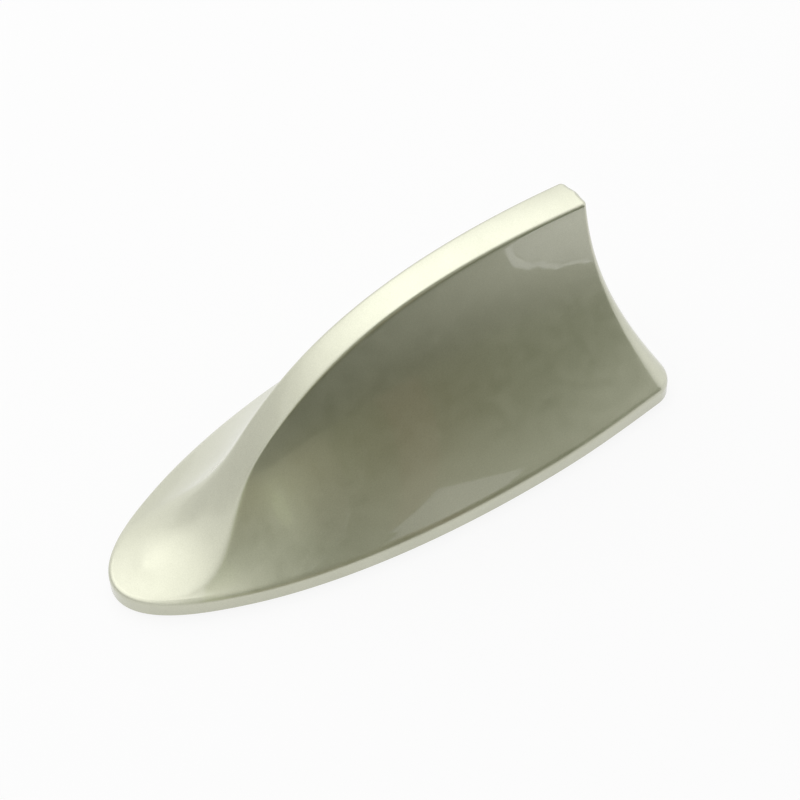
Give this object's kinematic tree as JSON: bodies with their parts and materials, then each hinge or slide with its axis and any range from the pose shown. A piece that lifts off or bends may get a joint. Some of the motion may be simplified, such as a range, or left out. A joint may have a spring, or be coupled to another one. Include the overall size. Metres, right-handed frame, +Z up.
{
  "type": "shark fin roof aerial",
  "caption": "Low, swept vehicle roof aerial in a painted fin-shaped shell on a flat adhesive base, with an amplifier board, a wound coil and an upright blade inside",
  "frame": {"origin": "on the adhesive face, under the middle of the cover", "axes": "+X runs from the nose to the tail, +Y to the side, +Z up out of the roof; metres"},
  "size_m": [0.1656, 0.074, 0.0607],
  "materials": {
    "paint": "moulded ABS painted champagne silver metallic under clear coat",
    "black_plastic": "fine grained black moulding",
    "zinc_steel": "zinc plated steel",
    "seal_rubber": "matt black rubber",
    "foam": "matt dark adhesive foam",
    "tinned_sheet": "tinned steel sheet",
    "board": "green solder mask over glass fibre",
    "chip": "matt black moulding",
    "ceramic": "tan ceramic with tinned ends",
    "sleeve": "shrunk dark blue sleeve",
    "ferrite": "dark ferrite drum",
    "gold_brass": "gold flashed brass",
    "white_plastic": "natural nylon moulding",
    "copper_wire": "enamelled copper wire"
  },
  "bodies": {
    "root": {"cover": "paint", "base_plate": "black_plastic", "cover_screws": "zinc_steel", "cover_gasket": "seal_rubber", "edge_tape": "foam", "hole_seal": "foam", "cable_grommet": "seal_rubber", "ground_plate": "tinned_sheet", "circuit_board": "board", "board_screws": "zinc_steel", "shield_can": "tinned_sheet", "amplifier_chip": "chip", "resistors": "chip", "ceramic_capacitors": "ceramic", "electrolytic_capacitor": "sleeve", "filter_coils": "ferrite", "coax_socket": "gold_brass", "power_header": "white_plastic", "coil_former": "white_plastic", "antenna_coil": "copper_wire", "antenna_blade": "tinned_sheet", "blade_eyelet": "gold_brass"}
  },
  "joints": []
}
